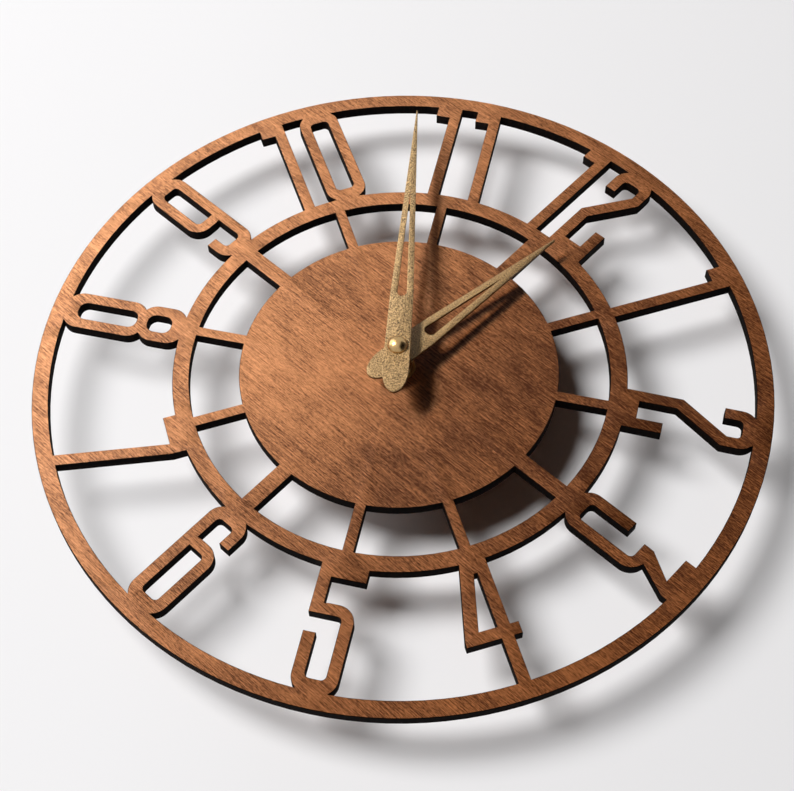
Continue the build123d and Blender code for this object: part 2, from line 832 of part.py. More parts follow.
with BuildPart() as intermediate_wheel:
    pinion_phase = meshed(intermediate_direction, seconds_teeth, 0, pinion_teeth)
    pinion_foot = seconds_z - mesh_overlap
    gear(intermediate_at, pinion_foot, intermediate_z, pinion_teeth, seconds_module, pinion_phase)
    wheel_top = intermediate_z + wheel_thickness
    gear(intermediate_at, intermediate_z, wheel_top, intermediate_teeth, going_module, 0)
    rod(intermediate_at, pivot_low, pivot_high, pivot_diameter)
finish(intermediate_wheel, "intermediate_wheel")

# Stepping motor
magnet_z = coil_core_z - stator_thickness / 2 - magnet_thickness / 2

with BuildPart() as rotor_pinion:
    rotor_phase = meshed(rotor_direction, intermediate_teeth, 0, pinion_teeth)
    gear(rotor_at, intermediate_z - mesh_overlap, magnet_z, pinion_teeth, going_module, rotor_phase)
    rod(rotor_at, pivot_low, pivot_high, pivot_diameter)
finish(rotor_pinion, "rotor_pinion")

with BuildPart() as rotor_magnet:
    rod(rotor_at, magnet_z, magnet_z + magnet_thickness, magnet_diameter)
    rod(rotor_at, magnet_z, magnet_z + magnet_thickness, pivot_diameter + 2 * push_fit, Mode.SUBTRACT)
finish(rotor_magnet, "rotor_magnet")

half_bar = stator_bar_width / 2
with BuildPart() as stator:
    ring_radius = magnet_diameter / 2 + magnet_air_gap
    arm_top = coil_y + half_bar
    with BuildSketch(Plane.XY.offset(stator_z)):
        with Locations(rotor_at):
            Circle(ring_radius + stator_ring_width)
        stator_left = stator_left_arm - half_bar
        stator_right = stator_right_arm + half_bar
        bar(stator_left, stator_right, stator_bar_y - half_bar, stator_bar_y + half_bar)
        for arm in (stator_left_arm, stator_right_arm):
            bar(arm - half_bar, arm + half_bar, stator_bar_y, arm_top)
        with Locations(rotor_at):
            Circle(ring_radius, mode=Mode.SUBTRACT)
    extrude(amount=stator_thickness)
finish(stator, "stator")

half_core = coil_core_width / 2
with BuildPart() as coil_core:
    core_left = coil_middle - coil_core_length / 2
    core_right = coil_middle + coil_core_length / 2
    core_top = coil_core_z + coil_core_thickness
    block(core_left, core_right, coil_y - half_core, coil_y + half_core, coil_core_z, core_top)
finish(coil_core, "coil_core")

winding_left = bobbin_left + bobbin_flange
winding_right = bobbin_right - bobbin_flange
sleeve_width = coil_core_width + 2 * push_fit + 2 * bobbin_wall
sleeve_height = coil_core_thickness + 2 * push_fit + 2 * bobbin_wall


def across(left):
    """A plane square to the coil, at that place along it."""
    return Plane(origin=(left, coil_y, coil_z), x_dir=(0, 1, 0), z_dir=(1, 0, 0))


with BuildPart() as coil_bobbin:
    for left in (bobbin_left, winding_right):
        with BuildSketch(across(left)):
            flange = coil_diameter + 2 * bobbin_flange_rim
            RectangleRounded(flange, flange, bobbin_flange)
        extrude(amount=bobbin_flange)
    with BuildSketch(across(winding_left)):
        Rectangle(sleeve_width, sleeve_height)
    extrude(amount=winding_right - winding_left)
    with BuildSketch(across(bobbin_left)):
        Rectangle(coil_core_width + 2 * push_fit, coil_core_thickness + 2 * push_fit)
    extrude(amount=bobbin_right - bobbin_left, mode=Mode.SUBTRACT)
finish(coil_bobbin, "coil_bobbin")

with BuildPart() as coil_winding:
    with BuildSketch(across(winding_left + push_fit)):
        Circle(coil_diameter / 2)
        Rectangle(sleeve_width + 2 * push_fit, sleeve_height + 2 * push_fit, mode=Mode.SUBTRACT)
    extrude(amount=winding_right - winding_left - 2 * push_fit)
finish(coil_winding, "coil_winding")

# Circuit board
with BuildPart() as circuit_board:
    block(
        board_x - board_width / 2,
        board_right,
        board_y - board_height / 2,
        board_y + board_height / 2,
        board_z,
        board_top,
    )
finish(circuit_board, "circuit_board")

with BuildPart() as chip:
    rod((board_x, board_y - board_height / 4), board_top, board_top + chip_height, chip_diameter)
    fillet(chip.faces().sort_by(Axis.Z)[-1].edges(), chip_round_share * chip_height)
finish(chip, "chip_blob")

with BuildPart() as crystal:
    crystal_y = board_y + board_height / 2 - crystal_diameter
    can_start = (board_x - crystal_length / 2, crystal_y, board_top + crystal_diameter / 2)
    with BuildSketch(Plane(origin=can_start, x_dir=(0, 1, 0), z_dir=(1, 0, 0))):
        Circle(crystal_diameter / 2)
    extrude(amount=crystal_length)
    fillet(crystal.edges(), crystal_edge_round)
finish(crystal, "crystal_can")

# Battery and its contacts
nub_end = inside_half_width - contact_room
can_end = nub_end - battery_nub_length
can_start = nub_end - battery_length


def along(left):
    """A plane square to the battery, at that place along it."""
    return Plane(origin=(left, battery_y, battery_z), x_dir=(0, 1, 0), z_dir=(1, 0, 0))


with BuildPart() as battery:
    with BuildSketch(along(can_start)):
        Circle(battery_diameter / 2)
    extrude(amount=can_end - can_start)
    fillet(battery.edges(), battery_gap)
    with BuildSketch(along(can_end)):
        Circle(battery_nub_diameter / 2)
    extrude(amount=battery_nub_length)
finish(battery, "battery")

contact_bottom = battery_z - contact_width / 2
contact_front = battery_y - contact_width / 2
contact_outer = inside_half_width - contact_gap

with BuildPart() as positive_contact:
    strip_end = board_y
    block(
        contact_outer - contact_thickness,
        contact_outer,
        contact_front,
        strip_end,
        board_z,
        train_plate_z - layer_gap,
    )
finish(positive_contact, "positive_contact")

with BuildPart() as negative_contact:
    block(
        -contact_outer,
        -contact_outer + contact_thickness,
        contact_front,
        low_post_y,
        board_z,
        train_plate_z - layer_gap,
    )
    with BuildSketch(along(-contact_outer + contact_thickness)):
        Circle(leaf_diameter / 2)
    extrude(amount=leaf_rise, taper=leaf_slope)
finish(negative_contact, "negative_contact")
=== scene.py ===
from math import atan2, cos, pi, radians, sin

import bmesh
import bpy
from mathutils import Matrix, Vector


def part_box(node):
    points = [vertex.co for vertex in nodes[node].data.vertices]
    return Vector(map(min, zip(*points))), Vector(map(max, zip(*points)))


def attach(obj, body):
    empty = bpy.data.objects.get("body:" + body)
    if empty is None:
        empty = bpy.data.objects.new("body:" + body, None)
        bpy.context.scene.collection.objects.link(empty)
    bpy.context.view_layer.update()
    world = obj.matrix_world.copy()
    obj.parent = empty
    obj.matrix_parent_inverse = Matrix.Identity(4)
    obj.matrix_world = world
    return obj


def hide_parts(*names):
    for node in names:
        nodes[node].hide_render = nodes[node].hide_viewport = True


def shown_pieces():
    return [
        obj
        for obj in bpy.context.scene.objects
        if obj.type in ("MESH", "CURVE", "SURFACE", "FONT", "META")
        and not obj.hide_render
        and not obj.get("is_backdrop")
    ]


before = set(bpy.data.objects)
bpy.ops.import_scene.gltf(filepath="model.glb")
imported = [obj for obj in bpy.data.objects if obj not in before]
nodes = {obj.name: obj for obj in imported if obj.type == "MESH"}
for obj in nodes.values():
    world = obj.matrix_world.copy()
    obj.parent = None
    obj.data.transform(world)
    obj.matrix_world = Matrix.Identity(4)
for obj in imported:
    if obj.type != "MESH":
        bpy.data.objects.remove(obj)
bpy.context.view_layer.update()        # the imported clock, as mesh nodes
scene = bpy.context.scene
scene.view_settings.view_transform = "Standard"
mm = 0.001
weld = 0.001 * mm                # points nearer than this are one
onPlane = 0.0005 * mm            # how near a cut's plane a point is left where it is
noiseLow, noiseHigh = 0.3, 0.7   # nearly all of a noise lies between these
print("frame loaded:", len(nodes), "nodes")


def linear(hexColour):       # sRGB hex to the linear colour that a socket takes
    parts = [int(hexColour[i:i + 2], 16) / 255 for i in (1, 3, 5)]
    return [p / 12.92 if p < 0.04045 else ((p + 0.055) / 1.055) ** 2.4 for p in parts] + [1]


def perSize(x, y, z):        # a mapping scale that makes one step of a pattern this many mm each way
    return 1 / (x * mm), 1 / (y * mm), 1 / (z * mm)


def add(tree, kind, inputs=None, **settings):   # one node, with fixed values or links by input
    node = tree.nodes.new("ShaderNode" + kind)
    for name, value in settings.items():
        setattr(node, name, value)
    for socket, value in (inputs or {}).items():
        if isinstance(value, bpy.types.NodeSocket):
            tree.links.new(value, node.inputs[socket])
        else:
            node.inputs[socket].default_value = value
    return node.outputs


def makeFinish(name, recipe):   # a recipe gives the shader's sockets from a tree and its coordinates
    finish = bpy.data.materials.new(name)
    finish.use_nodes = True
    tree = finish.node_tree
    tree.nodes.clear()
    shader = add(tree, "BsdfPrincipled", recipe(tree, add(tree, "TexCoord")["Object"]))
    add(tree, "OutputMaterial", {"Surface": shader["BSDF"]})
    return finish


# Birch plywood, rotary cut, stained walnut and sanded: a fine hatch of pale and dark dashes along X,
# longer streaks, a cloudy uneven stain and short dark pores, nearly matt. The stain cloud and the
# spots listed below also carry painted shade and painted light: darker towards the board's right,
# paler at its lower left. The dashes come out near 0.5 mm apart, coarser than in the real veneer,
# where they wouldn't show
plyLook = {
    "pale": "#c98b5e", "brown": "#4e2b17", "pore": "#1a0b04",
    "hatch": (1.6, 0.24, 0.24), "streak": (11.0, 0.27, 0.27), "cloud": (18.0, 10.0, 10.0),
    # the stain cloud is shifted so that its darker part lies at the board's right: partly painted shade
    "stain": (75.0, 75.0, 75.0), "stainShadeAt": (1.41, -3.51, 0.44), "poreSize": (4.0, 0.28, 0.28),
    "shares": {"hatch": 2.1, "streak": 2.0, "cloud": 0.7, "stain": 0.5}, "middle": 0.45,
    # darker and paler spots: centre and reach in mm, share of tone. They are partly uneven stain and partly
    # painted shade towards the board's right and painted light at its lower left
    "stainAndShadePatches": [
        ((84, 46), 130, -0.38), ((-28, -30), 73, 0.18),
        ((-48, 8), 42, -0.16), ((32, -38), 46, -0.2),
    ],
    "poreCut": (0.6, 0.72), "poreShare": 0.25, "roughness": (0.74, 0.60),
    "grainTurn": -2.0, "depth": 0.05,
}


def stainedPly(tree, place):
    look = plyLook
    turn = (0, 0, radians(look["grainTurn"]))
    layers = {}
    for layer in look["shares"]:
        shift = look["stainShadeAt"] if layer == "stain" else (0, 0, 0)
        spread = {"Vector": place, "Rotation": turn, "Location": shift, "Scale": perSize(*look[layer])}
        sized = add(tree, "Mapping", spread)[0]
        grain = {"Vector": sized, "Scale": 1.0, "Detail": 2.0, "Roughness": 0.6}
        layers[layer] = add(tree, "TexNoise", grain)[0]
    tone = look["middle"] - sum(look["shares"].values()) / 2
    for layer, share in look["shares"].items():
        tone = add(tree, "Math", {0: layers[layer], 1: share, 2: tone}, operation="MULTIPLY_ADD")[0]
    level = add(tree, "Mapping", {"Vector": place, "Scale": (1, 1, 0)})[0]
    # the darker and paler spots: partly stain, partly painted shade and painted light
    for (x, y), reach, share in look["stainAndShadePatches"]:
        away = add(tree, "VectorMath", {0: level, 1: (x * mm, y * mm, 0)}, operation="DISTANCE")["Value"]
        stainAndShade = add(tree, "MapRange", {0: away, 1: 0.0, 2: reach * mm, 3: share, 4: 0.0},
                     interpolation_type="SMOOTHSTEP")[0]
        tone = add(tree, "Math", {0: tone, 1: stainAndShade}, operation="ADD")[0]
    colours = {0: tone, 6: linear(look["brown"]), 7: linear(look["pale"])}
    wood = add(tree, "Mix", colours, data_type="RGBA")[2]
    short = add(tree, "Mapping", {"Vector": place, "Rotation": turn, "Scale": perSize(*look["poreSize"])})[0]
    pores = add(tree, "TexNoise", {"Vector": short, "Scale": 1.0, "Detail": 1.0})[0]
    poreFrom, poreTo = look["poreCut"]
    dark = add(tree, "MapRange", {0: pores, 1: poreFrom, 2: poreTo, 3: 0.0, 4: look["poreShare"]})[0]
    colour = add(tree, "Mix", {0: dark, 6: wood, 7: linear(look["pore"])}, data_type="RGBA")[2]
    dull, rubbed = look["roughness"]
    sheen = add(tree, "MapRange", {0: layers["streak"], 1: noiseLow, 2: noiseHigh, 3: dull, 4: rubbed})[0]
    height = add(tree, "Math", {0: layers["hatch"], 1: dark}, operation="SUBTRACT")[0]
    bump = add(tree, "Bump", {"Strength": 0.6, "Distance": look["depth"] * mm, "Height": height})[0]
    return {"Base Color": colour, "Roughness": sheen, "Normal": bump, "Specular IOR Level": 0.15}


# The same board where the laser has cut it: black soot, with the plies just showing brown
# and upright burn streaks, matt
charLook = {
    "soot": "#030202", "scorch": "#180d07", "scorchCut": (0.2, 0.45),
    "ply": (90.0, 90.0, 1.0), "burn": (0.7, 0.7, 9.0), "depth": 0.05,
}


def charredEdge(tree, place):
    look = charLook
    flat = add(tree, "Mapping", {"Vector": place, "Scale": perSize(*look["ply"])})[0]
    ply = add(tree, "TexNoise", {"Vector": flat, "Scale": 1.0, "Detail": 1.0})[0]
    upright = add(tree, "Mapping", {"Vector": place, "Scale": perSize(*look["burn"])})[0]
    burn = add(tree, "TexNoise", {"Vector": upright, "Scale": 1.0, "Detail": 2.0})[0]
    tone = add(tree, "Math", {0: ply, 1: burn}, operation="MULTIPLY")[0]
    scorchFrom, scorchTo = look["scorchCut"]
    tone = add(tree, "MapRange", {0: tone, 1: scorchFrom, 2: scorchTo, 3: 0.0, 4: 1.0})[0]
    colours = {0: tone, 6: linear(look["soot"]), 7: linear(look["scorch"])}
    colour = add(tree, "Mix", colours, data_type="RGBA")[2]
    bump = add(tree, "Bump", {"Strength": 0.5, "Distance": look["depth"] * mm, "Height": burn})[0]
    return {"Base Color": colour, "Roughness": 0.85, "Normal": bump, "Specular IOR Level": 0.05}


# Steel sheet with a gold wrinkle coat: sandy and half matt, with painted shade that darkens it down in its
# creases.
# The real grit is near 0.3 mm and wouldn't show, so it is drawn a little coarser
wrinkleLook = {
    "crest": "#dcbb87", "creaseShade": "#3a2910", "crestCut": (0.34, 0.64), "grit": 0.42, "depth": 0.42,
}


def wrinkledGold(tree, place):
    look = wrinkleLook
    grit = add(tree, "Mapping", {"Vector": place, "Scale": perSize(*[look["grit"]] * 3)})[0]
    height = add(tree, "TexNoise", {"Vector": grit, "Scale": 1.0, "Detail": 2.0, "Distortion": 0.4})[0]
    crestFrom, crestTo = look["crestCut"]
    tone = add(tree, "MapRange", {0: height, 1: crestFrom, 2: crestTo, 3: 0.0, 4: 1.0})[0]
    # pale on the crests, painted shade down in the creases
    colours = {0: tone, 6: linear(look["creaseShade"]), 7: linear(look["crest"])}
    colour = add(tree, "Mix", colours, data_type="RGBA")[2]
    bump = add(tree, "Bump", {"Strength": 1.0, "Distance": look["depth"] * mm, "Height": height})[0]
    coat = {"Metallic": 0.2, "Roughness": 0.45, "Specular IOR Level": 0.3}
    return {"Base Color": colour, "Normal": bump, **coat}


# Brass, turned and polished: a soft mirror with faint rubbed smudges
brassLook = {"dark": "#b08f5e", "pale": "#c4a676", "smudge": (2.0, 2.0, 2.0), "roughness": (0.24, 0.34)}


def polishedBrass(tree, place):
    look = brassLook
    smudge = add(tree, "Mapping", {"Vector": place, "Scale": perSize(*look["smudge"])})[0]
    rub = add(tree, "TexNoise", {"Vector": smudge, "Scale": 1.0, "Detail": 3.0})[0]
    bright, rubbed = look["roughness"]
    rough = add(tree, "MapRange", {0: rub, 1: noiseLow, 2: noiseHigh, 3: bright, 4: rubbed})[0]
    colours = {0: rub, 6: linear(look["dark"]), 7: linear(look["pale"])}
    colour = add(tree, "Mix", colours, data_type="RGBA")[2]
    return {"Base Color": colour, "Metallic": 1.0, "Roughness": rough}


# Metal left as it came off the lathe: fine rings about the clock's axis catch the light
def turnedMetal(dark, pale, ring=0.16, depth=0.02):
    def recipe(tree, place):
        level = add(tree, "Mapping", {"Vector": place, "Scale": (1, 1, 0)})[0]
        radius = add(tree, "VectorMath", {0: level}, operation="LENGTH")["Value"]
        turning = {"W": radius, "Scale": 1 / (ring * mm), "Detail": 1.0}
        rings = add(tree, "TexNoise", turning, noise_dimensions="1D")[0]
        colour = add(tree, "Mix", {0: rings, 6: linear(dark), 7: linear(pale)}, data_type="RGBA")[2]
        bump = add(tree, "Bump", {"Strength": 0.3, "Distance": depth * mm, "Height": rings})[0]
        return {"Base Color": colour, "Metallic": 1.0, "Roughness": 0.32, "Normal": bump}
    return recipe


# Anything moulded, pressed, wound or potted: a soft mottle in its colour and a fine grit in its skin
def mottled(dark, pale, mottle, grit, roughness, metallic=0.0, depth=0.03, uneven=0.06):
    def recipe(tree, place):
        patch = add(tree, "Mapping", {"Vector": place, "Scale": perSize(*mottle)})[0]
        cloud = add(tree, "TexNoise", {"Vector": patch, "Scale": 1.0, "Detail": 3.0})[0]
        fine = add(tree, "Mapping", {"Vector": place, "Scale": perSize(grit, grit, grit)})[0]
        skin = add(tree, "TexNoise", {"Vector": fine, "Scale": 1.0, "Detail": 1.0})[0]
        colour = add(tree, "Mix", {0: cloud, 6: linear(dark), 7: linear(pale)}, data_type="RGBA")[2]
        gloss = {0: cloud, 1: noiseLow, 2: noiseHigh, 3: roughness - uneven, 4: roughness + uneven}
        rough = add(tree, "MapRange", gloss)[0]
        bump = add(tree, "Bump", {"Strength": 0.4, "Distance": depth * mm, "Height": skin})[0]
        return {"Base Color": colour, "Metallic": metallic, "Roughness": rough, "Normal": bump}
    return recipe


recipes = {
    "stainedBirchPly": stainedPly,
    "laserCharredPly": charredEdge,
    "wrinkledGoldCoat": wrinkledGold,
    # the hands' edge faces: the gold darker and without the wrinkle, painted shade on the edges
    "shadedGoldEdge": mottled("#5e4325", "#8f6c3d", (0.6, 0.6, 0.6), 0.2, 0.55),
    "polishedBrass": polishedBrass,
    "turnedBrass": turnedMetal("#8c6d40", "#b39360"),
    "platedSteel": turnedMetal("#9a9a98", "#c9c9c6"),
    # moulded plastic: a half matt eroded skin, smoother on the knob, and a waxy gleam on acetal
    "mouldedAbs": mottled("#0e0e0f", "#17171a", (9, 9, 9), 0.35, 0.46),
    "knobAbs": mottled("#141416", "#202024", (4, 4, 4), 0.3, 0.38),
    "blackAcetal": mottled("#121212", "#1e1e1f", (2, 2, 2), 0.2, 0.34),
    "naturalAcetal": mottled("#dcd8c9", "#efece1", (2, 2, 2), 0.2, 0.36),
    # pressed rubber: dull and a little dusty
    "nitrileRubber": mottled("#0b0b0b", "#161615", (3, 3, 3), 0.3, 0.8),
    # film shrunk on the cell: glossy, dark green with a pale band
    "cellJacket": mottled("#2c4f43", "#38604f", (6, 6, 6), 0.2, 0.3),
    "cellBand": mottled("#c3c6c2", "#d4d6d2", (6, 6, 6), 0.2, 0.32),
    # rolled strip: fine lines along Y, bright on the springs and greyer on the laminations
    "springSteel": mottled("#8f8e8a", "#bdbcb6", (0.4, 4, 0.4), 0.15, 0.3, 1.0),
    "laminationSteel": mottled("#77787a", "#9c9d9f", (0.5, 5, 0.5), 0.2, 0.4, 1.0),
    # sintered magnet: dark grey and grainy
    "sinteredFerrite": mottled("#26262a", "#3a3a3f", (0.8, 0.8, 0.8), 0.15, 0.6),
    # varnished wire: fine turns across X with an orange gleam
    "enamelledCopper": mottled("#8a3d1d", "#c8683a", (0.12, 9, 9), 0.12, 0.3, 0.9),
    # the circuit's green lacquer and the glossy black drop on its chip
    "solderMask": mottled("#0d4a2b", "#17673d", (1.5, 1.5, 1.5), 0.2, 0.35),
    "pottingResin": mottled("#0a0a0b", "#141416", (1.5, 1.5, 1.5), 0.4, 0.28),
}
finishes = {name: makeFinish(name, recipe) for name, recipe in recipes.items()}
print("finishes made:", len(finishes))

# Nodes whose solid is right as it stands take a finish only
nodeFinish = {
    "minute_arbor": "turnedBrass", "hour_wheel": "turnedBrass",
    "centre_wheel": "naturalAcetal", "third_wheel": "naturalAcetal", "motion_wheel": "naturalAcetal",
    "seconds_wheel": "blackAcetal", "intermediate_wheel": "blackAcetal", "rotor_pinion": "blackAcetal",
    "train_plate": "blackAcetal", "coil_bobbin": "blackAcetal",
    "rotor_magnet": "sinteredFerrite", "stator": "laminationSteel", "coil_core": "laminationSteel",
    "coil_winding": "enamelledCopper", "circuit_board": "solderMask", "chip_blob": "pottingResin",
    "crystal_can": "platedSteel", "positive_contact": "springSteel", "negative_contact": "springSteel",
}
for nodeName, finishName in nodeFinish.items():
    for materialSlot in nodes[nodeName].material_slots:
        materialSlot.material = finishes[finishName]

# Edges sharper than the angle stay sharp. A normal is at least so upright on a level or near level face
shading = {"sharpFrom": radians(32), "level": 0.9999, "nearLevel": 0.9}


# A finished mesh put on its body, with its finishes and the node that it stands for
def makePiece(name, bm, finishNames, body, stoodFor=None, levelFlat=False):
    mesh = bpy.data.meshes.new(name)
    for face in bm.faces:
        face.smooth = not (levelFlat and abs(face.normal.z) > shading["level"])
    bm.to_mesh(mesh)
    bm.free()
    mesh.set_sharp_from_angle(angle=shading["sharpFrom"])
    for finishName in finishNames:
        mesh.materials.append(finishes[finishName])
    piece = bpy.data.objects.new(name, mesh)
    scene.collection.objects.link(piece)
    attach(piece, body)
    if stoodFor:
        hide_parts(stoodFor)


# A solid's copy whose level faces, at each way and height in rims, are eased all round
def easedCopy(nodeName, ease, shortest, rims, nearHeight=0.05 * mm):
    bm = bmesh.new()
    bm.from_mesh(nodes[nodeName].data)
    bmesh.ops.remove_doubles(bm, verts=bm.verts, dist=shortest)   # edges shorter than the ease would fold
    for way, height in rims:
        flat = [f for f in bm.faces if f.normal.z * way > shading["nearLevel"]
                and abs(f.calc_center_median().z - height) < nearHeight]
        ring = bmesh.ops.inset_region(bm, faces=flat, thickness=ease, use_even_offset=False)["faces"]
        eased = set(flat) | set(ring)
        arris = {v for f in ring for v in f.verts if not eased.issuperset(v.link_faces)}
        bmesh.ops.translate(bm, verts=list(arris), vec=(0, 0, -way * ease))   # the old sharp edge drops
    bm.normal_update()
    return bm


# The dial: one laser-cut board with its numerals, rings, spokes and disc
dial = {"ease": 0.22 * mm, "shortest": 0.15 * mm}
low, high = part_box("dial_plate")
bm = easedCopy("dial_plate", dial["ease"], dial["shortest"], [(1, high.z), (-1, low.z)])
for face in bm.faces:
    face.material_index = 0 if abs(face.normal.z) > shading["nearLevel"] else 1
makePiece("dialBoard", bm, ["stainedBirchPly", "laserCharredPly"], "clock_body", "dial_plate",
          levelFlat=True)

# The two hands: stamped sheet with a thick coat that rounds its edges
hands = {"ease": 0.2 * mm, "shortest": 0.15 * mm, "edgeShadeFrom": 0.3}   # a face steeper than this takes the darker edge gold, painted shade
for nodeName, pieceName, body in (
    ("minute_hand", "minuteHand", "minute_set"),
    ("hour_hand", "hourHand", "hour_set"),
):
    low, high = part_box(nodeName)
    bm = easedCopy(nodeName, hands["ease"], hands["shortest"], [(1, high.z), (-1, low.z)])
    for face in bm.faces:
        # steep edge faces take the darker gold: painted shade
        face.material_index = 0 if abs(face.normal.z) > hands["edgeShadeFrom"] else 1
    makePiece(pieceName, bm, ["wrinkledGoldCoat", "shadedGoldEdge"], body, nodeName,
              levelFlat=True)
print("board and hands cut")

# The movement's two moulded shells, eased at their outer rims and at the parting line between them
case = {"ease": 0.3 * mm, "shortest": 0.05 * mm, "split": 8.0 * mm}
for nodeName, pieceName in (("back_case", "backCase"), ("front_case", "frontCase")):
    low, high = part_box(nodeName)
    rims = [(-1, low.z), (1, case["split"] if nodeName == "back_case" else high.z)]
    bm = easedCopy(nodeName, case["ease"], case["shortest"], rims)
    makePiece(pieceName, bm, ["mouldedAbs"], "clock_body", nodeName, levelFlat=True)

# Four snap clips hold the shells together across the parting line, each with a sunk latch window
clips = {
    "deep": 0.7 * mm, "wide": 5.0 * mm, "tall": 6.4 * mm, "ease": 0.2 * mm,
    "border": 1.2 * mm, "sink": 0.35 * mm,
    "places": [(1, -5.0 * mm), (1, 15.0 * mm), (-1, -5.0 * mm), (-1, 15.0 * mm)],
}
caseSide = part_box("front_case")[1].x
bm = bmesh.new()
for way, along in clips["places"]:
    place = Matrix.Translation((way * caseSide, along, case["split"]))
    size = Matrix.Diagonal((2 * clips["deep"], clips["wide"], clips["tall"], 1))
    block = bmesh.ops.create_cube(bm, size=1, matrix=place @ size)["verts"]
    edges = list({edge for vert in block for edge in vert.link_edges})
    bmesh.ops.bevel(bm, geom=edges, offset=clips["ease"], affect="EDGES", segments=2, profile=0.5,
                    material=-1)
    bm.normal_update()
    front = [f for f in bm.faces if f.normal.x * way > shading["level"]
             and (f.calc_center_median() - place.translation).length < 2 * clips["deep"]]
    bmesh.ops.inset_region(bm, faces=front, thickness=clips["border"])
    bmesh.ops.inset_region(bm, faces=front, thickness=clips["ease"] / 2, depth=-clips["sink"])
makePiece("caseClips", bm, ["mouldedAbs"], "clock_body")

# The setting knob, eased at its outer face
knob = {"ease": 0.25 * mm, "shortest": 0.05 * mm}
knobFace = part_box("setting_knob")[0].z
bm = easedCopy("setting_knob", knob["ease"], knob["shortest"], [(-1, knobFace)])
makePiece("settingKnob", bm, ["knobAbs"], "knob", "setting_knob", levelFlat=True)
print("movement case moulded")


def turned(profile, steps=72):   # (radius, height) points of a half section, spun about the clock's axis
    bm = bmesh.new()
    points = [bm.verts.new((radius, 0, height)) for radius, height in profile]
    edges = [bm.edges.new(pair) for pair in zip(points, points[1:])]
    bmesh.ops.spin(bm, geom=points + edges, axis=(0, 0, 1), angle=2 * pi, steps=steps, use_merge=True)
    bmesh.ops.remove_doubles(bm, verts=bm.verts, dist=weld)
    bmesh.ops.recalc_face_normals(bm, faces=bm.faces)
    return bm


def ringProfile(bore, radius, foot, top, ease):   # the section of a flat ring with all four corners eased
    return [
        (bore, foot + ease), (bore + ease, foot), (radius - ease, foot), (radius, foot + ease),
        (radius, top - ease), (radius - ease, top), (bore + ease, top), (bore, top - ease),
        (bore, foot + ease),
    ]


# The cap nut: a polished dome on a short rim, hollow below for its thread
capNut = {"rim": 0.5 * mm, "lip": 0.15 * mm, "bore": 1.32 * mm, "boreDepth": 2.2 * mm, "ringSteps": 20}
low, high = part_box("cap_nut")
capRadius = high.x
domeRise = high.z - low.z - capNut["rim"]
domeRadius = (capRadius ** 2 + domeRise ** 2) / (2 * domeRise)
domeSweep = 2 * atan2(domeRise, capRadius)
boreTop = low.z + capNut["boreDepth"]
profile = [(0, boreTop), (capNut["bore"], boreTop), (capNut["bore"], low.z)]
profile += [(capRadius - capNut["lip"], low.z), (capRadius, low.z + capNut["lip"])]
for ring in range(capNut["ringSteps"] + 1):
    angle = domeSweep * (1 - ring / capNut["ringSteps"])
    profile.append((domeRadius * sin(angle), high.z - domeRadius * (1 - cos(angle))))
makePiece("domedCapNut", turned(profile, 96), ["polishedBrass"], "minute_set", "cap_nut")

# The washer and the rubber gasket: flat rings, the gasket pressed a little round at its rim
washer = {"bore": 4.05 * mm, "ease": 0.1 * mm}
low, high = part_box("dial_washer")
profile = ringProfile(washer["bore"], high.x, low.z, high.z, washer["ease"])
makePiece("dialWasher", turned(profile), ["turnedBrass"], "clock_body", "dial_washer")

gasket = {"bore": 4.05 * mm, "bulge": 0.35 * mm, "roundSteps": 8}
low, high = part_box("rubber_gasket")
middle = (low.z + high.z) / 2
halfThick = (high.z - low.z) / 2
profile = [(gasket["bore"], high.z), (gasket["bore"], low.z)]
for ring in range(gasket["roundSteps"] + 1):
    angle = pi * (ring / gasket["roundSteps"] - 0.5)
    profile.append((high.x - gasket["bulge"] * (1 - cos(angle)), middle + halfThick * sin(angle)))
profile.append(profile[0])
makePiece("rubberGasket", turned(profile), ["nitrileRubber"], "clock_body", "rubber_gasket")

# The dial nut: turned with both rims chamfered, then its six flats are milled
dialNut = {"bore": 4.05 * mm, "ease": 0.25 * mm, "rimDrop": 0.45 * mm, "rimIn": 0.8 * mm}
low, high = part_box("hex_nut")
flat = min(high.x, high.y)
corner = flat / cos(pi / 6)
profile = ringProfile(dialNut["bore"], corner, low.z, high.z, dialNut["ease"])
profile[2] = (corner - dialNut["rimIn"], low.z)
profile[3] = (corner, low.z + dialNut["rimDrop"])
profile[4] = (corner, high.z - dialNut["rimDrop"])
profile[5] = (corner - dialNut["rimIn"], high.z)
bm = turned(profile, 96)
firstFlat = pi / 2 if high.x > high.y else 0
for side in range(6):
    out = Vector((cos(firstFlat + side * pi / 3), sin(firstFlat + side * pi / 3), 0))
    cut = bmesh.ops.bisect_plane(bm, geom=bm.verts[:] + bm.edges[:] + bm.faces[:], dist=onPlane,
                                 plane_co=out * flat, plane_no=out, clear_outer=True)["geom_cut"]
    bmesh.ops.edgeloop_fill(bm, edges=[part for part in cut if isinstance(part, bmesh.types.BMEdge)])
bmesh.ops.recalc_face_normals(bm, faces=bm.faces)
makePiece("hexNut", bm, ["turnedBrass"], "clock_body", "hex_nut")


# The bushing: a screw thread wound up the shank, closed by a chamfered mouth, a bore and a flange
bushing = {
    "shank": 4.0 * mm, "bore": 2.53 * mm, "pitch": 0.75 * mm, "threadDepth": 0.32 * mm, "threadSteps": 36,
    "flangeTop": 15.0 * mm, "runIn": 0.3 * mm, "mouth": 0.4 * mm, "ease": 0.15 * mm,
    "turnWeld": 0.005 * mm, "spareTurns": 1.5,   # turns wound past each end, which are then cut off level
}


def ringOn(bm, edges, radius, height):   # carries an open loop on to a circle of that radius and height
    grown = bmesh.ops.extrude_edge_only(bm, edges=edges)["geom"]
    for vert in grown:
        if isinstance(vert, bmesh.types.BMVert):
            vert.co = Vector((vert.co.x, vert.co.y, 0)).normalized() * radius + Vector((0, 0, height))
    return [edge for edge in grown if isinstance(edge, bmesh.types.BMEdge) and edge.is_boundary]


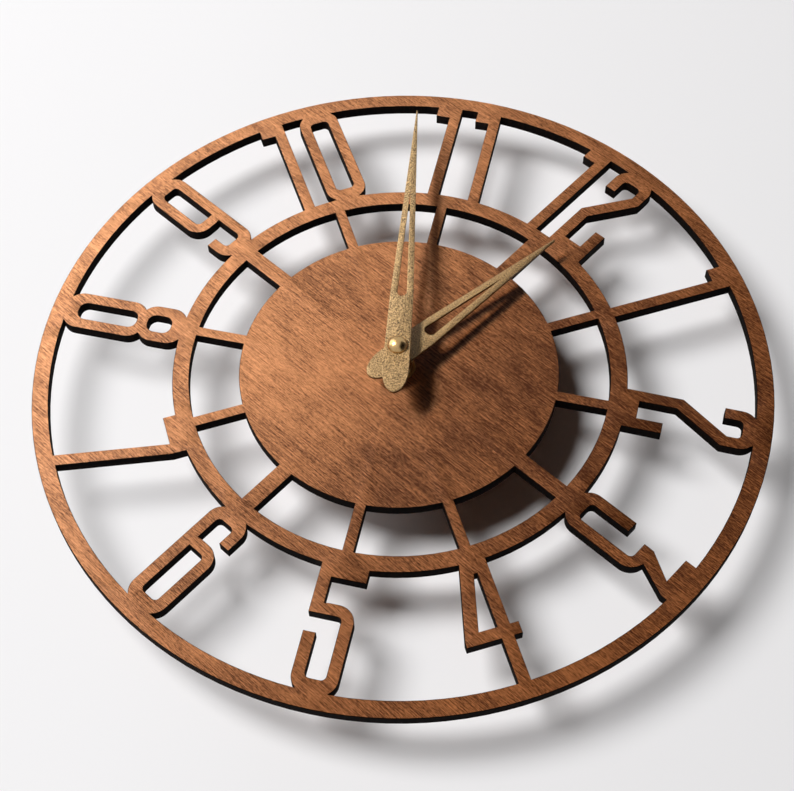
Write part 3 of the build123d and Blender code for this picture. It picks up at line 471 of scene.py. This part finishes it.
low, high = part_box("threaded_bushing")
pitch, crest = bushing["pitch"], bushing["shank"]
root = crest - bushing["threadDepth"]
threadFoot = bushing["flangeTop"] + bushing["runIn"]
threadTop = high.z - bushing["mouth"]
spare = bushing["spareTurns"]
turns = int((threadTop - threadFoot) / pitch) + int(2 * spare)
tooth = [(crest, 0), (crest, 0.12), (root, 0.46), (root, 0.62), (crest, 1)]   # radius, share of the pitch
bm = bmesh.new()
points = [bm.verts.new((radius, 0, threadFoot + (share - spare) * pitch)) for radius, share in tooth]
edges = [bm.edges.new(pair) for pair in zip(points, points[1:])]
steps = bushing["threadSteps"]
bmesh.ops.spin(bm, geom=points + edges, axis=(0, 0, 1), angle=2 * pi * turns, steps=steps * turns,
               dvec=(0, 0, pitch / steps))
bmesh.ops.remove_doubles(bm, verts=bm.verts, dist=bushing["turnWeld"])   # each turn joins the next
for height, way in ((threadFoot, -1), (threadTop, 1)):
    bmesh.ops.bisect_plane(bm, geom=bm.verts[:] + bm.edges[:] + bm.faces[:], dist=onPlane,
                           plane_co=(0, 0, height), plane_no=(0, 0, way), clear_outer=True)
openEdges = [edge for edge in bm.edges if edge.is_boundary]
loop = [edge for edge in openEdges if edge.verts[0].co.z > (threadFoot + threadTop) / 2]
footLoop = [edge for edge in openEdges if edge.verts[0].co.z < (threadFoot + threadTop) / 2]
ease, flangeTop = bushing["ease"], bushing["flangeTop"]
for radius, height in (
    (crest - bushing["mouth"], high.z), (bushing["bore"], high.z), (bushing["bore"], low.z),
    (high.x - ease, low.z), (high.x, low.z + ease), (high.x, flangeTop - ease), (high.x - ease, flangeTop),
    (root, flangeTop),
):
    loop = ringOn(bm, loop, radius, height)
bmesh.ops.bridge_loops(bm, edges=loop + footLoop)
bmesh.ops.recalc_face_normals(bm, faces=bm.faces)
makePiece("threadedBushing", bm, ["turnedBrass"], "clock_body", "threaded_bushing")
print("hub turned")

# The cell: a rolled jacket in two colours over a steel can, its base dished and its nub drawn
cell = {
    "lip": 0.45 * mm, "rim": 0.7 * mm, "dish": 0.3 * mm, "dishRadius": 5.0 * mm, "bandLength": 11.0 * mm,
    "nubRadius": 2.75 * mm, "nubLength": 1.4 * mm, "nubEase": 0.3 * mm,
}
low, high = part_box("battery")
cellLength = high.x - low.x
cellRadius = (high.y - low.y) / 2
lip, rim, dish = cell["lip"], cell["rim"], cell["dish"]
shoulder = cellLength - cell["nubLength"]
jacketInner = cellRadius - rim
profile = [
    (0, dish), (cell["dishRadius"], dish), (cell["dishRadius"] + dish, lip / 3), (jacketInner, lip / 3),
    (jacketInner, 0), (cellRadius - lip / 2, 0), (cellRadius, lip),
    (cellRadius, shoulder - cell["bandLength"]), (cellRadius, shoulder - lip),
    (cellRadius - lip / 2, shoulder), (jacketInner, shoulder), (jacketInner, shoulder - lip / 3),
    (cell["nubRadius"] + dish, shoulder - lip / 3), (cell["nubRadius"], shoulder),
    (cell["nubRadius"], cellLength - cell["nubEase"]),
    (cell["nubRadius"] - cell["nubEase"], cellLength), (0, cellLength),
]
bm = turned(profile, 64)
for face in bm.faces:
    centre = face.calc_center_median()
    steel = Vector((centre.x, centre.y)).length < jacketInner - lip / 4
    banded = centre.z > shoulder - cell["bandLength"]
    face.material_index = 2 if steel else 1 if banded else 0
cellBase = Vector((low.x, (low.y + high.y) / 2, (low.z + high.z) / 2))
bm.transform(Matrix.Translation(cellBase) @ Matrix.Rotation(pi / 2, 4, "Y"))   # laid down along X
makePiece("batteryCell", bm, ["cellJacket", "cellBand", "springSteel"], "clock_body",
          "battery")
print("cell rolled")

# Studio, as the camera sees it: a broad lamp at the left for the pale floor, and for the clock a long
# narrow lamp at the left and a soft-edged spot over its left side. The metal alone sees the two cards,
# a white one at the left and a dark one at the right
studio = {
    "floor": "#f2f1f2", "floorHalf": 20.0, "floorDrop": 0.05 * mm,
    "glow": 0.52, "glowAlong": (0.72, 0.70, 0), "glowFrom": (-0.14, 0.03),
    "rings": [(0.08, 0.13, 0.24), (0.4, 1.7, 0.92)],   # from, to and glow, outward from the clock's middle
    "backdrop": "#f2f1f3", "fill": 0.02, "fillColour": "#ffe0cf",
    "fillFrom": (0.1, 0.9),   # the sky's fill grows between these heights, so it comes from overhead
    "floorLamp": {"at": (-1.40, -0.60, 2.00), "aim": (0, 0, 0), "across": 1.4, "along": 1.4, "watts": 78.0,
                  "colour": "#ffffff"},
    "clockLamp": {"at": (-1.22, -0.95, 2.03), "aim": (0, -0.95, 0), "across": 0.3, "along": 1.7,
                  "watts": 50.0, "colour": "#ffdeb6"},
    "clockSpot": {"at": (-0.32, -0.26, 0.56), "aim": (-0.44, -0.15, 0.0), "across": 0.2, "watts": 63.0,
                  "cone": radians(102.0), "colour": "#e8f4ff"},
    "whiteCard": {"at": (-0.85, -0.2, 0.42), "aim": (0, 0, 0.02), "half": 0.42,
                  "colour": "#ffffff", "glow": 3.0},
    "darkCard": {"at": (0.42, 0.23, 0.21), "aim": (0, 0, 0.04), "half": 0.45,
                 "colour": "#1a1510", "glow": 0.6},
}


def seenRay(tree):   # 1 for what the eye sees, straight or in metal or glass, and 0 for stray light
    ray = add(tree, "LightPath")
    seen = add(tree, "Math", {0: ray["Is Camera Ray"], 1: ray["Is Glossy Ray"]}, operation="MAXIMUM")[0]
    return add(tree, "Math", {0: seen, 1: ray["Is Transmission Ray"]}, operation="MAXIMUM")[0]


def paleFloor(tree, place):   # matt paper that glows white towards the lamps and far from the clock
    across = add(tree, "VectorMath", {0: place, 1: studio["glowAlong"]}, operation="DOT_PRODUCT")["Value"]
    start, end = studio["glowFrom"]
    share = add(tree, "MapRange", {0: across, 1: start, 2: end, 3: studio["glow"], 4: 0.0},
                interpolation_type="SMOOTHSTEP")[0]
    away = add(tree, "VectorMath", {0: place}, operation="LENGTH")["Value"]
    for inner, outer, most in studio["rings"]:
        far = add(tree, "MapRange", {0: away, 1: inner, 2: outer, 3: 0.0, 4: most},
                  interpolation_type="SMOOTHSTEP")[0]
        share = add(tree, "Math", {0: share, 1: far}, operation="MAXIMUM")[0]
    white = linear(studio["floor"])
    glow = add(tree, "Math", {0: share, 1: seenRay(tree)}, operation="MULTIPLY")[0]
    paper = add(tree, "Mix", {0: share, 6: white, 7: (0, 0, 0, 1)}, data_type="RGBA")[2]
    return {"Base Color": paper, "Roughness": 0.9, "Emission Color": white, "Emission Strength": glow}


bm = bmesh.new()
bmesh.ops.create_grid(bm, x_segments=1, y_segments=1, size=studio["floorHalf"])
floorMesh = bpy.data.meshes.new("floor")
bm.to_mesh(floorMesh)
bm.free()
floorMesh.materials.append(makeFinish("seamlessPaper", paleFloor))
floor = bpy.data.objects.new("floor", floorMesh)
floor.location.z = -studio["floorDrop"]
scene.collection.objects.link(floor)
floor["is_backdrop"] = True

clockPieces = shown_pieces()
for lampName, kind, lit in (
    ("floorLamp", "AREA", [floor]), ("clockLamp", "AREA", clockPieces), ("clockSpot", "SPOT", clockPieces),
):
    setting = studio[lampName]
    lampData = bpy.data.lights.new(lampName, kind)
    lampData.energy = setting["watts"]
    lampData.color = linear(setting["colour"])[:3]
    if kind == "AREA":
        lampData.shape = "ELLIPSE"
        lampData.size = setting["along"]
        lampData.size_y = setting["across"]
    else:
        lampData.shadow_soft_size = setting["across"] / 2
        lampData.spot_size = setting["cone"]
        lampData.spot_blend = 1.0
    lamp = bpy.data.objects.new(lampName, lampData)
    lamp.location = setting["at"]
    towards = Vector(setting["at"]) - Vector(setting["aim"])
    lamp.rotation_euler = towards.to_track_quat("Z", "Y").to_euler()
    lamp.visible_camera = False
    scene.collection.objects.link(lamp)
    lamp.light_linking.receiver_collection = bpy.data.collections.new(lampName + "Lights")
    for thing in lit:   # each lamp is kept to the floor or to the clock
        lamp.light_linking.receiver_collection.objects.link(thing)

for cardName in ("whiteCard", "darkCard"):
    setting = studio[cardName]
    bm = bmesh.new()
    bmesh.ops.create_grid(bm, x_segments=1, y_segments=1, size=setting["half"])
    facing = (Vector(setting["aim"]) - Vector(setting["at"])).to_track_quat("Z", "Y").to_matrix().to_4x4()
    bm.transform(Matrix.Translation(setting["at"]) @ facing)
    cardMesh = bpy.data.meshes.new(cardName)
    bm.to_mesh(cardMesh)
    bm.free()
    cardMesh.materials.append(makeFinish(cardName, lambda tree, place: {
        "Base Color": (0, 0, 0, 1), "Roughness": 1.0,
        "Emission Color": linear(setting["colour"]), "Emission Strength": setting["glow"]}))
    card = bpy.data.objects.new(cardName, cardMesh)
    card.visible_camera = card.visible_diffuse = card.visible_shadow = card.visible_transmission = False
    scene.collection.objects.link(card)
    card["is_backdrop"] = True

scene.world = bpy.data.worlds.new("studioAir")
scene.world.use_nodes = True
tree = scene.world.node_tree
tree.nodes.clear()
seen = seenRay(tree)
height = add(tree, "SeparateXYZ", {0: add(tree, "TexCoord")["Generated"]})["Z"]
fillLow, fillHigh = studio["fillFrom"]
fill = add(tree, "MapRange", {0: height, 1: fillLow, 2: fillHigh, 3: 0.0, 4: studio["fill"]})[0]
strength = add(tree, "MapRange", {0: seen, 3: fill, 4: 1.0})[0]
hues = {0: seen, 6: linear(studio["fillColour"]), 7: linear(studio["backdrop"])}
hue = add(tree, "Mix", hues, data_type="RGBA")[2]
air = add(tree, "Background", {"Color": hue, "Strength": strength})[0]
add(tree, "OutputWorld", {"Surface": air})
print("studio lit")

# Camera: stands at the lower right of the dial and looks down on it
view = {
    "place": (243.7, -250.6, 548.0), "heading": 48.76, "tilt": 32.83, "roll": -5.46,
    "lens": 70.17, "sensor": 36.0, "shift": (0.0818, -0.0032), "nearest": 0.01,
}
cameraData = bpy.data.cameras.new("photoCamera")
cameraData.lens = view["lens"]
cameraData.sensor_width = view["sensor"]
cameraData.shift_x, cameraData.shift_y = view["shift"]
cameraData.clip_start = view["nearest"]
camera = bpy.data.objects.new("photoCamera", cameraData)
swings = [(view["heading"], "Z"), (view["tilt"], "X"), (view["roll"], "Z")]
aim = Matrix.Identity(4)
for degrees, axis in swings:
    aim = aim @ Matrix.Rotation(radians(degrees), 4, axis)
camera.matrix_world = Matrix.Translation(Vector(view["place"]) * mm) @ aim
scene.collection.objects.link(camera)
scene.camera = camera
print("camera placed")
